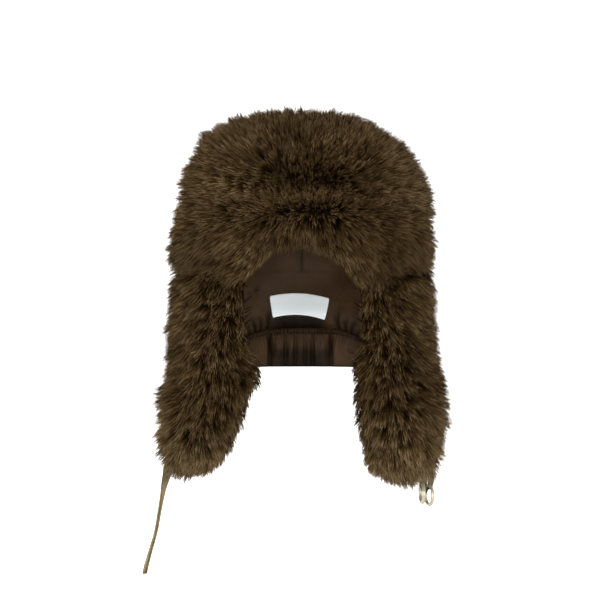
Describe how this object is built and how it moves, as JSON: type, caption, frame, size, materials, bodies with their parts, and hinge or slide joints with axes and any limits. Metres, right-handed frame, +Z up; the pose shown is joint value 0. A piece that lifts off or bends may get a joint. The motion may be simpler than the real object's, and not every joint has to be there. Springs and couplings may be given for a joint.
{
  "type": "fur trapper hat with ear flaps",
  "caption": "Deep-furred hat with a folded-up fur visor, hanging ear flaps, a nape flap with a gathered lining, a suede tie strap and a suede loop with rings.",
  "frame": {"origin": "middle of the head opening at the height of the brow", "axes": "+Z up when worn, -Y out of the face opening, +X towards the wearer's left"},
  "size_m": [0.3062, 0.304, 0.4637],
  "materials": {
    "fur": "long dense fur, dark olive brown with paler tips",
    "lining": "brown satin",
    "label": "blank woven label",
    "suede": "olive brown suede",
    "rings": "polished pale gold"
  },
  "bodies": {
    "root": {"cap_lining": "lining", "ear_flap_right_lining": "lining", "ear_flap_left_lining": "lining", "nape_lining": "lining", "elastic_channel": "lining", "gathered_hem": "lining", "label": "label", "crown_fur": "fur", "visor_fur": "fur", "ear_flap_right_fur": "fur", "ear_flap_left_fur": "fur", "nape_fur": "fur", "tie_strap": "suede", "ring_loop": "suede", "ring_inner": "rings", "ring_outer": "rings"}
  },
  "joints": []
}
